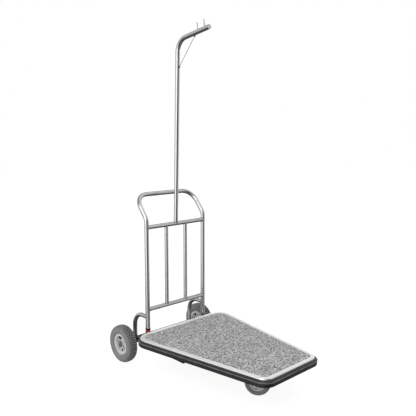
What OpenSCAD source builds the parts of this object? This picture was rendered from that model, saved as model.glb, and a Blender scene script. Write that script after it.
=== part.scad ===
// Three-wheel hotel luggage cart: carpeted platform, push frame and garment pole.
// Every sub-part is drawn from the uprights' plane (Y = 0) and the floor (Z = 0), X across the cart.
// place() then slides the whole cart so that its origin is the middle of its footprint.

/* [Frame tube] */
// Outside diameter of the push frame's tube and of the garment pole
frame_tube_d = 25.4; // [22:0.1:32]
// Wall of every round tube
tube_wall = 1.5; // [1:0.1:2.5]
// Distance between the two uprights, centre to centre
upright_spacing = 410; // [340:5:500]
// Height where the uprights bend back towards the push bar
handle_bend_z = 814; // [760:2:900]
// Lean of the push handle behind the vertical, in degrees
handle_lean = 39.5; // [10:0.5:45]
// Length of the leaning part of the handle, to the push bar's centre
handle_len = 161; // [130:1:220]
// Radius of the small bend in each upright
handle_bend_r = 50; // [40:2:80]
// Radius of the push bar's two corners
bar_corner_r = 77; // [60:1:90]

/* [Crossbars] */
// Outside diameter of the two crossbars
crossbar_d = 24; // [20:0.5:25]
// Height of the upper crossbar's centre
top_crossbar_z = 772; // [680:2:780]
// Height of the lower crossbar's centre
low_crossbar_z = 313; // [295:2:420]
// Outside diameter of the two ladder bars
ladder_d = 22; // [16:0.5:23]
// Distance between the ladder bars, centre to centre
ladder_spacing = 138; // [90:2:200]

/* [Garment pole] */
// Height of the corner where the pole's axis meets the arm's axis
pole_corner_z = 1768; // [1470:2:2130]
// Forward lean of the pole, in degrees
pole_lean = 1.5; // [0:0.1:3]
// Radius of the bend between the pole and the arm
pole_bend_r = 77; // [60:1:120]
// Length of the arm, from the corner to its open end
arm_len = 248; // [200:2:300]
// Rise of the arm towards its end, in degrees
arm_rise = 9; // [0:0.5:20]
// Diameter of the hanger pins
pin_d = 5.5; // [4:0.5:8]
// Height of the hanger pins above the arm
pin_h = 36; // [25:1:60]
// Distance of the first hanger pin from the arm's end
pin_inset = 32; // [20:1:45]
// Distance between the two hanger pins
pin_pitch = 53; // [35:1:70]
// Diameter of the stay rod under the bend
stay_d = 3; // [2:0.5:6]
// Distance from the corner to the stay rod's upper anchor, along the arm
stay_reach = 135; // [115:1:155]
// Distance from the corner to the stay rod's lower anchor, down the pole
stay_drop = 138; // [118:1:170]

/* [Platform] */
// Height of the platform's metal trim above the floor
deck_z = 196.7; // [185:1:240]
// Distance from the uprights' centre line forward to the platform's rear edge
deck_gap = 34; // [30:1:60]
// Length of the platform between its rear and front edges, without the bumper
deck_len = 818; // [720:2:1000]
// Width across the platform's rear edge, corner to corner before rounding
deck_rear_w = 661; // [620:2:760]
// Width across the platform's front edge, corner to corner before rounding
deck_front_w = 382; // [340:2:460]
// Radius of the rear corners
rear_corner_r = 75; // [50:1:90]
// Radius of the front corners
front_corner_r = 48; // [40:1:70]
// Visible width of the metal trim
trim_w = 22; // [16:1:30]
// Thickness of the trim's metal
trim_t = 2; // [1.5:0.1:3]
// Height of the trim's outer lip
trim_lip_h = 7; // [6:0.5:12]
// Thickness of the plywood board
board_t = 18; // [12:1:21]
// Thickness of the carpet's backing, which runs under the trim
backing_t = 4; // [3:0.5:5]
// Thickness of the carpet's pile above its backing
pile_t = 2.4; // [1:0.1:4]
// Height of the rubber bumper
bumper_h = 32; // [28:1:40]
// How far the bumper stands out from the trim
bumper_out = 14.5; // [10:0.5:20]

/* [Chassis] */
// Height of the chassis rails' upper face
rail_top_z = 131; // [125:1:135]
// Width and height of each square chassis rail
rail_side = 25; // [20:1:30]
// How far the chassis rails reach under the platform, from the uprights
rail_reach = 315; // [250:5:340]
// Outside diameter of the tube round the axle
axle_tube_d = 38; // [34:1:42]
// Length of the tube round the axle
beam_len = 470; // [450:1:478]
// Outside diameter of the bracket tubes that run back to the axle tube
bracket_d = 25; // [18:0.5:25]
// Height where the bracket tubes leave the uprights
bracket_z = 270; // [245:2:285]
// Radius of the bracket tubes' bend
bracket_r = 72; // [50:1:90]

/* [Rear wheels] */
// Outside diameter of the rear tyres
rear_wheel_d = 210; // [200:2:220]
// Width of the rear tyres
rear_tyre_w = 62; // [50:1:66]
// Distance between the two rear wheels' middle planes
rear_track = 574; // [566:1:600]
// Distance of the rear axle behind the uprights
axle_back = 122; // [115:1:150]
// Outside diameter of the rims' flanges
rim_d = 118; // [112:1:124]
// Diameter of the through axle
axle_d = 16; // [13:0.5:17]
// Outside diameter of the rear wheels' ball bearings
bearing_d = 35; // [30:1:36]
// Number of windows in each rim
rim_windows = 8; // [5:1:10]

/* [Caster] */
// Outside diameter of the caster's tyre
caster_d = 130; // [120:2:136]
// Width of the caster's tyre
caster_w = 34; // [28:1:38]
// Distance of the swivel axis behind the platform's front edge
caster_inset = 156; // [150:2:200]
// Distance of the caster's wheel axle from its swivel axis
caster_trail = 48; // [35:1:52]
// Angle at which the caster stands, turned about its swivel axis, in degrees
caster_turn = 36; // [0:1:60]

/* [Hidden] */
$fn = 64;

run_fit = 0.05;                       // radial clearance where a piece turns on another
snug = 0.1;                           // clearance of a plug or sleeve on its tube
half_spacing = upright_spacing / 2;

// Platform stack, from the top down
flange_z = deck_z - trim_t;
board_top = flange_z - backing_t;
board_bottom = board_top - board_t;
bumper_top = deck_z - trim_lip_h - 0.5;
bumper_bottom = bumper_top - bumper_h;
leg_t = 3;                            // wall of the steel frame round the board
shelf_w = 22;                         // shelf of that frame under the board

// Platform outline in plan
rear_y = -deck_gap;
front_y = rear_y - deck_len;
taper = atan((deck_rear_w - deck_front_w) / 2 / deck_len);
rear_c = [side_x(rear_y - rear_corner_r) - rear_corner_r / cos(taper), rear_y - rear_corner_r];
front_c = [side_x(front_y + front_corner_r) - front_corner_r / cos(taper), front_y + front_corner_r];
bumper_wrap = 54;                     // degrees that the bumper turns round each rear corner
round_fn = 96;                        // facets of the platform's corners
band_h = 27.5;                        // height of the coloured band on the left upright
band_t = 1.2;
band_ring_h = 8;

// Chassis
rail_bottom_z = rail_top_z - rail_side;
axle_tube_wall = 3;
cross_tube_h = 36;
cross_tube_top = deck_z - 27;
cross_tube_back = frame_tube_d / 2 - 6;
member_w = 30;
member_reach = half_spacing + 20;
box_wall = 2;
rear_member_y = rear_y - 75;
middle_member_y = -rail_reach + member_w / 2;
front_member_y = front_y + caster_inset + 140;
front_member_h = 22;
screw_d = 6;
screw_grip = 12;                      // how far the deck screws reach into the board

// Rear wheels
wheel_r = rear_wheel_d / 2;
rim_r = rim_d / 2;
seat_r = rim_r - 8;                   // radius of the tyre's seat on the rim
rim_half = 21;                        // half the width of the assembled rim
bearing_w = 11;
bearing_out = 6;                      // from the wheel's middle plane to each bearing's inner face
hub_r = bearing_d / 2 + 4;
hub_half = bearing_out + bearing_w + 2;
web_t = 7;                            // wall of each rim half's disc
barrel_t = 4;                         // wall of the rim under the tyre's seat
flange_t = 2.5;
tyre_wall = 6;
tube_t = 1.6;                         // wall of the inner tube
rim_bolt_d = 6;
rim_bolt_r = hub_r + 4.5;             // pitch radius of the rim bolts
window_in = rim_bolt_r + 5.5;         // inner radius of the rim windows
window_out = seat_r - barrel_t - 2.5; // outer radius of the rim windows
valve_d = 7;
valve_lean = 32;                      // lean of the valve out of the wheel's middle plane
bearing_face = rear_track / 2 + bearing_out + bearing_w;
washer_t = 2;
nut_h = 8;

// Caster
caster_r = caster_d / 2;
swivel_y = front_y + caster_inset;
plate_t = 4;
mount_t = 6;
top_plate_z = board_bottom - mount_t - plate_t;
crown_top = top_plate_z - 11;
crown_t = 5;
fork_gap = caster_w + 8;
fork_t = 4;
king_d = 12;
pin_axle_d = 10;
side_gap = 0.3;                       // plain gap beside a turning piece
caster_hub_w = fork_gap - 6;
caster_rim_half = caster_w / 2 - 3;
caster_rim_r = caster_r - 26;
caster_bearing_d = 26;
caster_bearing_w = 8;
caster_hub_r = caster_bearing_d / 2 + 3;
race_r = 22;                          // radius of the ball ring
ball_d = 6;
ball_count = 18;
ball_z = crown_top + 4.6;
crown_r = 36;
bolt_x = 80;                          // hole spacing of the caster plate across the cart
bolt_y = 60;                          // hole spacing of the caster plate along the cart
plate_bolt_d = 8;

// The cart reaches from the bumper's nose to the back of the rear tyres
reach_front = front_y - bumper_out;
reach_back = axle_back + wheel_r;
place_y = -(reach_front + reach_back) / 2;

function side_x(y) = deck_front_w / 2 + (y - front_y) * tan(taper);

module place() { translate([0, place_y, 0]) children(); }

// ---- Tube runs -------------------------------------------------------------------------------

// A run starts at the origin and heads along +Y; [length, 0] goes straight, [radius, angle] bends
// towards +X. With lined, each place where a bend meets a straight length gets a faint raised line.
module run(steps, d, lined = true, i = 0) {
    if (i < len(steps)) {
        if (lined && i > 0) bend_line(d);
        if (steps[i][1] == 0) {
            rotate([-90, 0, 0]) cylinder(d = d, h = steps[i][0]);
            translate([0, steps[i][0], 0]) run(steps, d, lined, i + 1);
        } else {
            r = steps[i][0];
            a = steps[i][1];
            translate([r, 0, 0]) rotate(180 - a) rotate_extrude(angle = a) translate([r, 0]) circle(d = d);
            translate([r * (1 - cos(a)), r * sin(a), 0]) rotate(-a) run(steps, d, lined, i + 1);
        }
    }
}

module bend_line(d) { rotate([-90, 0, 0]) translate([0, 0, -1]) cylinder(d = d + 0.2, h = 2); }

module tube_run(steps, d, lined = true) {
    difference() {
        run(steps, d, lined);
        run(steps, d - 2 * tube_wall, lined);
    }
}

// Stands a run up, so that it climbs +Z and bends towards +Y
module climb() { rotate([90, 0, 90]) children(); }

module across_x(len, d) { translate([-len / 2, 0, 0]) rotate([0, 90, 0]) cylinder(d = d, h = len); }

module sides() { for (s = [-1, 1]) translate([s * half_spacing, 0, 0]) children(); }

module box_tube(size) {
    difference() {
        cube(size, center = true);
        cube([size.x + 1, size.y - 2 * box_wall, size.z - 2 * box_wall], center = true);
    }
}

// ---- Push frame ------------------------------------------------------------------------------

bend_tangent = handle_bend_r * tan(handle_lean / 2);
upright_len = handle_bend_z - bend_tangent - rail_top_z;
leg_len = handle_len - bend_tangent - bar_corner_r;
bar_len = upright_spacing - 2 * bar_corner_r;

module handle_path(d) {
    upright = [[upright_len, 0], [handle_bend_r, handle_lean], [leg_len, 0]];
    translate([0, 0, rail_top_z]) sides() climb() run(upright, d);
    translate([0, 0, handle_bend_z]) rotate([-handle_lean, 0, 0]) translate([0, 0, handle_len]) {
        across_x(bar_len, d);
        for (s = [0, 1]) mirror([s, 0, 0])
            translate([bar_len / 2, 0, -bar_corner_r]) rotate([90, 0, 0]) {
                rotate_extrude(angle = 90) translate([bar_corner_r, 0]) circle(d = d);
                for (a = [0, 90]) rotate(a) translate([bar_corner_r, 0]) bend_line(d);
            }
    }
}

module handle_frame() {
    color("silver") place() difference() {
        handle_path(frame_tube_d);
        handle_path(frame_tube_d - 2 * tube_wall);
    }
}

module uprights_solid() {
    sides() translate([0, 0, rail_top_z - 1]) cylinder(d = frame_tube_d, h = upright_len + 1);
}

module crossbar(z) {
    translate([0, 0, z]) difference() {
        across_x(upright_spacing, crossbar_d);
        across_x(upright_spacing + 1, crossbar_d - 2 * tube_wall);
    }
}

module upper_crossbar() {
    color("silver") place() difference() {
        crossbar(top_crossbar_z);
        handle_path(frame_tube_d);
    }
}

module lower_crossbar() {
    color("silver") place() difference() {
        crossbar(low_crossbar_z);
        uprights_solid();
    }
}

module ladder_bar(side) {
    bar_h = top_crossbar_z - low_crossbar_z;
    color("silver") place() difference() {
        translate([side * ladder_spacing / 2, 0, low_crossbar_z]) difference() {
            cylinder(d = ladder_d, h = bar_h);
            translate([0, 0, -1]) cylinder(d = ladder_d - 2 * tube_wall, h = bar_h + 2);
        }
        for (z = [low_crossbar_z, top_crossbar_z]) translate([0, 0, z]) across_x(upright_spacing, crossbar_d);
    }
}

module ladder_bar_left() { ladder_bar(-1); }

module ladder_bar_right() { ladder_bar(1); }

// ---- Garment pole ----------------------------------------------------------------------------

pole_foot = crossbar_d * 0.3;         // the pole's saddle starts this far above the crossbar's centre
pole_turn = 90 - pole_lean - arm_rise;
pole_tangent = pole_bend_r * tan(pole_turn / 2);
pole_len = (pole_corner_z - top_crossbar_z) / cos(pole_lean);
arm_straight = arm_len - pole_tangent;
tube_r = frame_tube_d / 2;
rivet_d = 5;
rivet_grip = 6;
rivet_head_d = 10;
rivet_head_h = 5;

// Frame of the pole: origin on the upper crossbar, +Z up the pole, -Y towards the arm
module on_pole() { translate([0, 0, top_crossbar_z]) rotate([pole_lean, 0, 0]) children(); }

// Frame of the corner, square to the cart
module on_corner() { on_pole() translate([0, 0, pole_len]) rotate([-pole_lean, 0, 0]) children(); }

// Frame of the arm: origin at the corner, -Y out along the arm, +Z square to it on its upper side
module on_arm() { on_corner() rotate([-arm_rise, 0, 0]) children(); }

module garment_pole() {
    pole_run = [[pole_len - pole_foot - pole_tangent, 0], [pole_bend_r, pole_turn], [arm_straight, 0]];
    color("silver") place() difference() {
        on_pole() translate([0, 0, pole_foot]) mirror([0, 1, 0]) climb() tube_run(pole_run, frame_tube_d);
        translate([0, 0, top_crossbar_z]) across_x(upright_spacing, crossbar_d);
        hanger_places() cylinder(d = pin_d, h = frame_tube_d);
        rivet_places() translate([0, 0, tube_r - rivet_grip - 1]) cylinder(d = rivet_d, h = rivet_grip + 2);
    }
}

module pole_end_plug() {
    color("silver") place() on_arm() translate([0, -arm_len, 0]) rotate([90, 0, 0]) {
        cylinder(d = frame_tube_d, h = 2.5);
        translate([0, 0, -14]) cylinder(d = frame_tube_d - 2 * tube_wall - 2 * snug, h = 14);
    }
}

module hanger_places() {
    on_arm() for (i = [0, 1]) translate([0, pin_inset + i * pin_pitch - arm_len, 0]) children();
}

module hanger_pins() {
    pin_foot = tube_r - 6;
    pin_top = tube_r + pin_h - pin_d / 2;
    color("silver") place() hanger_places() {
        translate([0, 0, pin_foot]) cylinder(d = pin_d, h = pin_top - pin_foot);
        translate([0, 0, pin_top]) sphere(d = pin_d);
    }
}

// The stay runs in the cart's middle plane; its ends are [forward, up] from the corner
stay_eye = tube_r + rivet_head_h / 2;
stay_top = stay_reach * [cos(arm_rise), sin(arm_rise)] + stay_eye * [sin(arm_rise), -cos(arm_rise)];
stay_foot = stay_eye * [cos(pole_lean), -sin(pole_lean)] - stay_drop * [sin(pole_lean), cos(pole_lean)];
stay_run = stay_top - stay_foot;

// Each rivet's frame: origin on the tube's centre line, +Z out through the rivet's head
module rivet_places() {
    on_arm() translate([0, -stay_reach, 0]) rotate([180, 0, 0]) children();
    on_pole() translate([0, 0, pole_len - stay_drop]) rotate([90, 0, 0]) children();
}

module stay_solid() {
    on_corner() translate([0, -stay_foot[0], stay_foot[1]]) rotate([atan2(stay_run[0], stay_run[1]), 0, 0])
        cylinder(d = stay_d, h = norm(stay_run));
}

module stay_rod() { color("silver") place() stay_solid(); }

module stay_anchors() {
    color("dimgray") place() difference() {
        rivet_places() {
            translate([0, 0, tube_r - rivet_grip]) cylinder(d = rivet_d, h = rivet_grip);
            translate([0, 0, tube_r]) cylinder(d = rivet_head_d, h = rivet_head_h);
        }
        stay_solid();
    }
}

// ---- Brackets and foot band ------------------------------------------------------------------

module axle_bracket(side) {
    steps = [[axle_back - bracket_r, 0], [bracket_r, 90], [bracket_z - bracket_r - wheel_r, 0]];
    color("silver") place() difference() {
        translate([side * half_spacing, 0, bracket_z]) rotate([0, 90, 0]) tube_run(steps, bracket_d, false);
        uprights_solid();
        axle_tube_solid();
    }
}

module axle_bracket_left() { axle_bracket(-1); }

module axle_bracket_right() { axle_bracket(1); }

module band_ring(z, h, wall) {
    translate([-half_spacing, 0, z]) difference() {
        cylinder(d = frame_tube_d + 2 * wall, h = h);
        translate([0, 0, -1]) cylinder(d = frame_tube_d, h = h + 2);
    }
}

band_z = deck_z - 16.7;

module foot_band() {
    color("firebrick") place() band_ring(band_z + band_ring_h, band_h - 2 * band_ring_h, band_t);
}

module foot_band_rings() {
    color("black") place() for (z = [band_z, band_z + band_h - band_ring_h])
        band_ring(z, band_ring_h, band_t + 0.4);
}

// ---- Platform --------------------------------------------------------------------------------

module deck_plan(inset) {
    hull() for (s = [-1, 1]) {
        translate([s * rear_c.x, rear_c.y]) circle(rear_corner_r - inset, $fn = round_fn);
        translate([s * front_c.x, front_c.y]) circle(front_corner_r - inset, $fn = round_fn);
    }
}

module deck_slab(inset, z, h) { translate([0, 0, z]) linear_extrude(h) deck_plan(inset); }

module deck_ring(inset, w, z, h) {
    translate([0, 0, z]) linear_extrude(h) difference() {
        deck_plan(inset);
        deck_plan(inset + w);
    }
}

module deck_frame() {
    color("dimgray") place() {
        deck_ring(trim_t, leg_t, bumper_bottom, board_top - bumper_bottom);
        deck_ring(trim_t + leg_t, shelf_w, board_bottom - leg_t, leg_t);
    }
}

module deck_board() {
    color("burlywood") place() difference() {
        deck_slab(trim_t + leg_t + 0.5, board_bottom, board_t);
        screw_places() translate([0, 0, -1]) cylinder(d = screw_d, h = screw_grip + 1);
        plate_bolt_places() translate([0, 0, board_bottom - 1])
            cylinder(d = plate_bolt_d, h = screw_grip + 1);
    }
}

module carpet() {
    color("gray") place() {
        deck_slab(trim_t + 0.2, board_top, backing_t);
        deck_slab(trim_w + 0.3, flange_z, pile_t);
    }
}

module deck_trim() {
    color("gainsboro") place() {
        deck_ring(0, trim_w, flange_z, trim_t);
        deck_ring(0, trim_t, deck_z - trim_lip_h, trim_lip_h);
        translate([0, rear_y - 3, deck_z]) across_x(2 * rear_c.x, 4);
    }
}

// Bumper section: x outwards from the platform's edge, y up from the bumper's lower edge
module bumper_section() {
    rib_z = bumper_h * 0.72;
    polygon([
        [-trim_t, 0], [bumper_out - 6, 0], [bumper_out - 3, 1.5], [bumper_out - 1.8, 5],
        [bumper_out - 1.4, rib_z - 3], [bumper_out, rib_z - 1.2], [bumper_out, rib_z + 1.2],
        [bumper_out - 1.6, rib_z + 3], [bumper_out - 2.6, bumper_h - 5], [bumper_out - 6, bumper_h - 1.5],
        [bumper_out - 10, bumper_h], [-trim_t, bumper_h]
    ]);
}

// Straight stretch of bumper from point p, with its outer side towards the plan angle a
module bumper_straight(p, a, len) {
    translate(p) rotate([90, 0, a]) {
        linear_extrude(len) bumper_section();
        for (z = [0, len]) translate([0, 0, z - 1]) linear_extrude(2) intersection() {
            offset(delta = 0.1) bumper_section();
            translate([-trim_t, -1]) square([trim_t + bumper_out + 1, bumper_h + 2]);
        }
    }
}

module bumper_corner(c, r, from, turn) {
    translate(c) rotate(from) rotate_extrude(angle = turn) translate([r, 0]) bumper_section();
}

module bumper() {
    side_start = rear_c + rear_corner_r * [cos(taper), -sin(taper)];
    side_end = front_c + front_corner_r * [cos(taper), -sin(taper)];
    color([0.1, 0.1, 0.1]) place() translate([0, 0, bumper_bottom]) {
        bumper_straight([front_c.x, front_y], 270, 2 * front_c.x);
        for (s = [0, 1]) mirror([s, 0, 0]) {
            bumper_straight(side_start, -taper, norm(side_end - side_start));
            bumper_corner(front_c, front_corner_r, 270, 90 - taper);
            bumper_corner(rear_c, rear_corner_r, -taper, bumper_wrap);
        }
    }
}

// ---- Chassis under the platform --------------------------------------------------------------

module rear_cross_tube() {
    front = rear_y - trim_t;
    back = -cross_tube_back;
    color("dimgray") place() difference() {
        translate([0, (front + back) / 2, cross_tube_top - cross_tube_h / 2])
            box_tube([2 * rear_c.x - 4, back - front, cross_tube_h]);
        uprights_solid();
    }
}

module chassis_rail(side) {
    back = axle_back - bracket_d / 2 - 0.5;
    color([0.12, 0.12, 0.12]) place() difference() {
        translate([side * half_spacing, (back - rail_reach) / 2, rail_top_z - rail_side / 2])
            rotate(90) box_tube([back + rail_reach, rail_side, rail_side]);
        axle_tube_solid();
    }
}

module chassis_rail_left() { chassis_rail(-1); }

module chassis_rail_right() { chassis_rail(1); }

module rail_member(y) {
    h = board_bottom - rail_top_z;
    color([0.12, 0.12, 0.12]) place() difference() {
        translate([0, y, rail_top_z + h / 2]) box_tube([2 * member_reach, member_w, h]);
        screw_places() translate([0, 0, -100]) cylinder(d = screw_d, h = 101);
    }
}

module rear_cross_member() { rail_member(rear_member_y); }

module middle_cross_member() { rail_member(middle_member_y); }

module front_cross_member() {
    color([0.12, 0.12, 0.12]) place() difference() {
        intersection() {
            translate([0, front_member_y, board_bottom - front_member_h / 2])
                box_tube([deck_rear_w, member_w, front_member_h]);
            deck_slab(trim_t + leg_t + shelf_w, board_bottom - front_member_h, front_member_h);
        }
        screw_places() translate([0, 0, -100]) cylinder(d = screw_d, h = 101);
    }
}

// Each deck screw's frame: origin on the board's lower face, +Z up into the board
module screw_places() {
    for (y = [rear_member_y, middle_member_y, front_member_y], x = [-130, 130])
        translate([x, y, board_bottom]) children();
}

module deck_screws() {
    color("silver") place() {
        for (y = [rear_member_y, middle_member_y], x = [-130, 130]) translate([x, y, 0])
            deck_screw(rail_top_z);
        for (x = [-130, 130]) translate([x, front_member_y, 0]) deck_screw(board_bottom - front_member_h);
    }
}

// Screw whose head bears on the face at height z
module deck_screw(z) {
    translate([0, 0, z]) cylinder(d = screw_d, h = board_bottom + screw_grip - z);
    translate([0, 0, z - 4]) cylinder(d = 12, h = 4, $fn = 6);
}

module axle_tube_solid() { on_axle() across_x(beam_len, axle_tube_d); }

module axle_beam() {
    color([0.12, 0.12, 0.12]) place() difference() {
        axle_tube_solid();
        on_axle() across_x(beam_len + 2, axle_tube_d - 2 * axle_tube_wall);
    }
}

plug_len = 20;

module beam_plugs() {
    color("black") place() difference() {
        on_axle() for (s = [-1, 1]) translate([s * (beam_len - plug_len) / 2, 0, 0])
            across_x(plug_len, axle_tube_d - 2 * axle_tube_wall);
        on_axle() across_x(beam_len + 2, axle_d);
    }
}

// ---- Rear axle and wheels --------------------------------------------------------------------

module on_axle() { translate([0, axle_back, wheel_r]) children(); }

// Sleeve on the axle from x = a to x = b, on both sides
module axle_sleeves(a, b, d) {
    on_axle() for (s = [0, 1]) mirror([s, 0, 0]) translate([a, 0, 0]) rotate([0, 90, 0]) difference() {
        cylinder(d = d, h = b - a);
        translate([0, 0, -1]) cylinder(d = axle_d, h = b - a + 2);
    }
}

washer_x = bearing_face + side_gap;
nut_x = washer_x + washer_t;

module rear_axle() { color("silver") place() on_axle() across_x(2 * (nut_x + nut_h + 2), axle_d); }

module axle_spacers() {
    inner_face = rear_track / 2 - bearing_out - bearing_w - side_gap;
    color("dimgray") place() axle_sleeves(beam_len / 2, inner_face, axle_d + 6);
}

module axle_washers() { color("silver") place() axle_sleeves(washer_x, nut_x, axle_d + 10); }

module axle_nuts() {
    color("silver") place() on_axle() for (s = [0, 1]) mirror([s, 0, 0]) translate([nut_x, 0, 0])
        rotate([0, 90, 0]) difference() {
            cylinder(d = axle_d + 12, h = nut_h, $fn = 6);
            translate([0, 0, -1]) cylinder(d = axle_d, h = nut_h + 2);
        }
}

// Frame of a rear wheel: origin at its centre, +Z along the axle and away from the cart
module rear_wheel(side) {
    place() on_axle() mirror([side < 0 ? 1 : 0, 0, 0]) translate([rear_track / 2, 0, 0])
        rotate([0, 90, 0]) children();
}

// Points of a rounded section around radius r, half as tall as b and half as wide as a. It is left
// open towards the wheel's hub.
function rounded(r, b, a) = [for (t = [-30 : 10 : 210])
    [r + b * sign(sin(t)) * pow(abs(sin(t)), 0.77), a * sign(cos(t)) * pow(abs(cos(t)), 0.77)]];

tyre_mid_r = (seat_r + wheel_r) / 2;
tyre_b = (wheel_r - seat_r) / 2;
bead_half = rim_half - flange_t;
bead_h = 6;
bead_w = 8;

module rear_tyre() {
    lip = rim_r + 0.4;
    toe = bead_half - bead_w;
    outside = rounded(tyre_mid_r, tyre_b, rear_tyre_w / 2);
    inside = rounded(tyre_mid_r, tyre_b - tyre_wall, rear_tyre_w / 2 - tyre_wall);
    rotate_extrude($fn = 128) polygon(concat(
        [[seat_r, toe], [seat_r, bead_half], [lip, bead_half], [lip, rim_half + 1]],
        outside,
        [[lip, -rim_half - 1], [lip, -bead_half], [seat_r, -bead_half], [seat_r, -toe]],
        [[seat_r + bead_h, -toe], [seat_r + bead_h + 3, -toe - 2.5]],
        [for (i = [len(inside) - 1 : -1 : 0]) inside[i]],
        [[seat_r + bead_h + 3, toe + 2.5], [seat_r + bead_h, toe]]
    ));
}

module tube_section(extra) {
    b = tyre_b - tyre_wall - extra;
    a = rear_tyre_w / 2 - tyre_wall - extra;
    base = seat_r + bead_h + 1 + extra;
    half = bead_half - bead_w - extra;
    polygon(concat(
        rounded(tyre_mid_r, b, a),
        [[base + 3, -half - 1.5], [base, -half], [base, half], [base + 3, half + 1.5]]
    ));
}

module inner_tube() {
    rotate_extrude($fn = 96) difference() {
        tube_section(0.4);
        tube_section(0.4 + tube_t);
    }
}

// One half of the split rim, from the wheel's middle plane outwards
module rim_half_body() {
    difference() {
        rotate_extrude() union() {
            translate([seat_r - barrel_t, 0]) square([barrel_t, rim_half]);
            translate([seat_r - barrel_t, bead_half]) square([rim_r - seat_r + barrel_t, flange_t]);
            translate([hub_r - 1, 0]) square([seat_r - barrel_t - hub_r + 2, web_t]);
            translate([bearing_d / 2, 0]) square([hub_r - bearing_d / 2, hub_half]);
            translate([axle_d / 2 + 4, 0]) square([bearing_d / 2 - axle_d / 2 - 3, bearing_out]);
        }
        for (i = [0 : rim_windows - 1]) rotate(360 / rim_windows * i - 0.29 * 360 / rim_windows)
            translate([0, 0, -1]) rotate_extrude(angle = 0.58 * 360 / rim_windows)
                translate([window_in, 0]) square([window_out - window_in, web_t + 2]);
        rim_bolt_places() translate([0, 0, -1]) cylinder(d = rim_bolt_d, h = web_t + 2);
    }
}

module rim_bolt_places() { for (i = [0 : 3]) rotate(45 + 90 * i) translate([rim_bolt_r, 0, 0]) children(); }

// Valve stem through the outer rim half and one of its windows
module valve_solid() {
    rotate(180) translate([seat_r + 4, 0, 3.2]) rotate([0, valve_lean - 90, 0]) children();
}

module rim_outer() {
    difference() {
        rim_half_body();
        valve_solid() cylinder(d = valve_d, h = 26);
    }
}

module rim_inner() { mirror([0, 0, 1]) rim_half_body(); }

module rim_bolts() {
    rim_bolt_places() {
        translate([0, 0, -web_t]) cylinder(d = rim_bolt_d, h = 2 * web_t);
        translate([0, 0, web_t]) cylinder(d = 9, h = 4, $fn = 6);
        translate([0, 0, -web_t - 4]) cylinder(d = 9, h = 4, $fn = 6);
    }
}

module wheel_bearings() {
    for (s = [0, 1]) mirror([0, 0, s]) translate([0, 0, bearing_out]) difference() {
        cylinder(d = bearing_d, h = bearing_w);
        translate([0, 0, -1]) cylinder(d = axle_d + 2 * run_fit, h = bearing_w + 2);
    }
}

module valve() {
    valve_solid() {
        cylinder(d = valve_d, h = 20);
        translate([0, 0, 20]) cylinder(d = valve_d + 1.5, h = 8);
    }
}

module rear_tyre_left() { color("darkgray") rear_wheel(-1) rear_tyre(); }

module inner_tube_left() { color("black") rear_wheel(-1) inner_tube(); }

module rim_outer_left() { color("gainsboro") rear_wheel(-1) rim_outer(); }

module rim_inner_left() { color("gainsboro") rear_wheel(-1) rim_inner(); }

module rim_bolts_left() { color("silver") rear_wheel(-1) rim_bolts(); }

module wheel_bearings_left() { color("silver") rear_wheel(-1) wheel_bearings(); }

module valve_left() { color("dimgray") rear_wheel(-1) valve(); }

module rear_tyre_right() { color("darkgray") rear_wheel(1) rear_tyre(); }

module inner_tube_right() { color("black") rear_wheel(1) inner_tube(); }

module rim_outer_right() { color("gainsboro") rear_wheel(1) rim_outer(); }

module rim_inner_right() { color("gainsboro") rear_wheel(1) rim_inner(); }

module rim_bolts_right() { color("silver") rear_wheel(1) rim_bolts(); }

module wheel_bearings_right() { color("silver") rear_wheel(1) wheel_bearings(); }

module valve_right() { color("dimgray") rear_wheel(1) valve(); }

// ---- Caster ----------------------------------------------------------------------------------

module on_swivel() { place() translate([0, swivel_y, 0]) children(); }

module plate_bolt_places() {
    for (x = [-1, 1], y = [-1, 1]) translate([x * bolt_x / 2, swivel_y + y * bolt_y / 2, 0]) children();
}

module mount_sheet(size, z, bore) {
    difference() {
        translate([0, swivel_y, z + size.z / 2]) cube(size, center = true);
        plate_bolt_places() translate([0, 0, z - 1]) cylinder(d = plate_bolt_d, h = size.z + 2);
        translate([0, swivel_y, z - 1]) cylinder(d = bore, h = size.z + 2);
    }
}

module caster_mount_plate() {
    color([0.12, 0.12, 0.12]) place() mount_sheet([190, 150, mount_t], board_bottom - mount_t, king_d + 2);
}

module caster_top_plate() { color("silver") place() mount_sheet([105, 85, plate_t], top_plate_z, king_d); }

module caster_plate_bolts() {
    color("silver") place() plate_bolt_places() {
        translate([0, 0, top_plate_z]) cylinder(d = plate_bolt_d, h = plate_t + mount_t + screw_grip);
        translate([0, 0, top_plate_z - 5]) cylinder(d = 14, h = 5, $fn = 6);
    }
}

module ball_groove(extra) {
    translate([0, 0, ball_z]) rotate_extrude() translate([race_r, 0]) circle(d = ball_d + 2 * extra);
}

module swivel_race() {
    color("silver") on_swivel() difference() {
        translate([0, 0, ball_z + 1]) cylinder(r = race_r + 8, h = top_plate_z - ball_z - 1);
        translate([0, 0, ball_z]) cylinder(d = king_d, h = top_plate_z - ball_z + 1);
        ball_groove(0);
    }
}

module swivel_balls() {
    color("silver") on_swivel() for (i = [0 : ball_count - 1]) rotate(360 / ball_count * i)
        translate([race_r, 0, ball_z]) sphere(d = ball_d, $fn = 32);
}

crown_bottom = crown_top - crown_t;

module kingpin() {
    color("silver") on_swivel() translate([0, 0, crown_bottom - 12])
        cylinder(d = king_d, h = top_plate_z + plate_t - crown_bottom + 12);
}

module kingpin_nut() {
    color("silver") on_swivel() translate([0, 0, crown_bottom - side_gap - 9]) difference() {
        cylinder(d = 22, h = 9, $fn = 6);
        translate([0, 0, -1]) cylinder(d = king_d, h = 11);
    }
}

// Frame of the fork: origin on the swivel axis at floor height, +Y back towards the wheel's axle
module on_fork() { on_swivel() rotate(caster_turn) children(); }

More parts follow.
